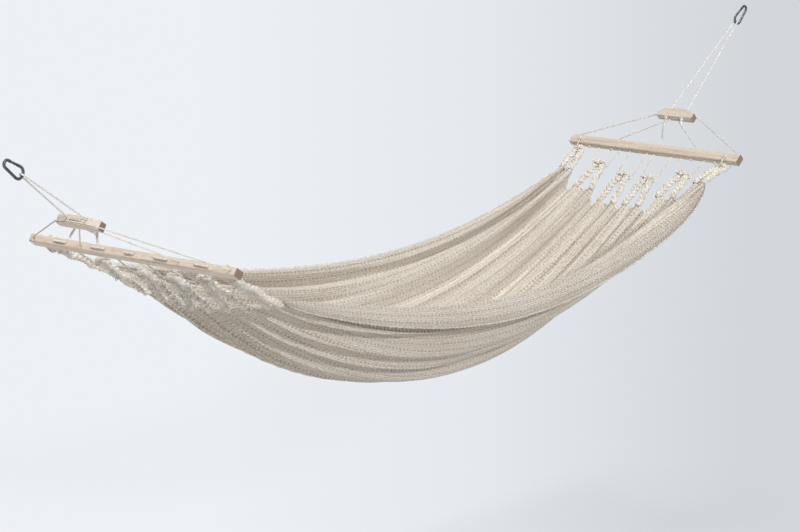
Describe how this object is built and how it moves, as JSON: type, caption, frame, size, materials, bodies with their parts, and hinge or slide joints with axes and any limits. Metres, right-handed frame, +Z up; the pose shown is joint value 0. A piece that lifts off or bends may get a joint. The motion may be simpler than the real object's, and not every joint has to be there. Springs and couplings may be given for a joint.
{
  "type": "hammock",
  "caption": "cotton cloth hammock, slung between two wooden spreader bars by rope harnesses, wooden blocks and steel snap hooks",
  "frame": {"origin": "the inside of the near snap hook's narrow end, where the anchor loop bears", "axes": "+X runs along the hammock from the near hook to the far one, +Y runs across it to the back, +Z is up"},
  "size_m": [3.6544, 0.807, 1.0966],
  "materials": {
    "hook_steel": "dark zinc-grey round steel wire, satin",
    "wood": "pale planed hardwood, fine straight grain, darker end grain",
    "white_rope": "white three-strand cotton rope",
    "twisted_cord": "beige twisted cotton cord",
    "braid_yarn": "unbleached cotton warp yarns, plaited",
    "bed_weave": "unbleached cotton, open plain weave with slubs and dark flecks"
  },
  "bodies": {
    "hooks": {"near_carabiner": "hook_steel", "near_gate_pin": "hook_steel", "far_carabiner": "hook_steel", "far_gate_pin": "hook_steel"},
    "near_gate": {"near_carabiner_gate": "hook_steel"},
    "far_gate": {"far_carabiner_gate": "hook_steel"},
    "bed": {"bed_cloth": "bed_weave", "near_braid_1": "braid_yarn", "near_braid_2": "braid_yarn", "near_braid_3": "braid_yarn", "near_braid_4": "braid_yarn", "near_braid_5": "braid_yarn", "near_braid_6": "braid_yarn", "far_braid_1": "braid_yarn", "far_braid_2": "braid_yarn", "far_braid_3": "braid_yarn", "far_braid_4": "braid_yarn", "far_braid_5": "braid_yarn", "far_braid_6": "braid_yarn"},
    "near_spreader": {"near_spreader_bar": "wood", "near_rope_block": "wood", "near_suspension_rope": "white_rope", "near_outer_harness_cord": "twisted_cord", "near_inner_harness_cord": "twisted_cord", "near_lacing_cord": "twisted_cord"},
    "far_spreader": {"far_spreader_bar": "wood", "far_rope_block": "wood", "far_suspension_rope": "white_rope", "far_outer_harness_cord": "twisted_cord", "far_inner_harness_cord": "twisted_cord", "far_lacing_cord": "twisted_cord"}
  },
  "joints": [
    {"name": "bed_swing", "type": "hinge", "parent": "hooks", "child": "bed", "pos_m": [0.05727, 0.00534, -0.03865], "axis": [0.9991, 0, 0.0425], "range_deg": [-30, 30], "deforming": ["near_suspension_rope", "far_suspension_rope"]},
    {"name": "near_spreader_turn", "type": "hinge", "parent": "bed", "child": "near_spreader", "pos_m": [0.50438, 0.04706, -0.34037], "axis": [-0.8265, -0.0771, 0.5577], "range_deg": [-12, 12], "stiffness_Nm_per_rad": 20, "deforming": ["near_suspension_rope", "near_lacing_cord", "near_braid_1", "near_braid_2", "near_braid_3", "near_braid_4", "near_braid_5", "near_braid_6"]},
    {"name": "far_spreader_turn", "type": "hinge", "parent": "bed", "child": "far_spreader", "pos_m": [3.10684, 0.04045, -0.32942], "axis": [0.733, -0.054, 0.6781], "range_deg": [-12, 12], "stiffness_Nm_per_rad": 20, "deforming": ["far_suspension_rope", "far_lacing_cord", "far_braid_1", "far_braid_2", "far_braid_3", "far_braid_4", "far_braid_5", "far_braid_6"]},
    {"name": "near_gate_swing", "type": "hinge", "parent": "hooks", "child": "near_gate", "pos_m": [0.01709, 0.00142, 0.00276], "axis": [-0.0847, 0.9963, 0.0122], "range_deg": [0, 35], "stiffness_Nm_per_rad": 0.02, "springref_deg": -34.38},
    {"name": "far_gate_swing", "type": "hinge", "parent": "hooks", "child": "far_gate", "pos_m": [3.61677, 0.00307, 0.15844], "axis": [-0.0847, -0.9963, 0.0122], "range_deg": [0, 35], "stiffness_Nm_per_rad": 0.02, "springref_deg": -34.38}
  ]
}
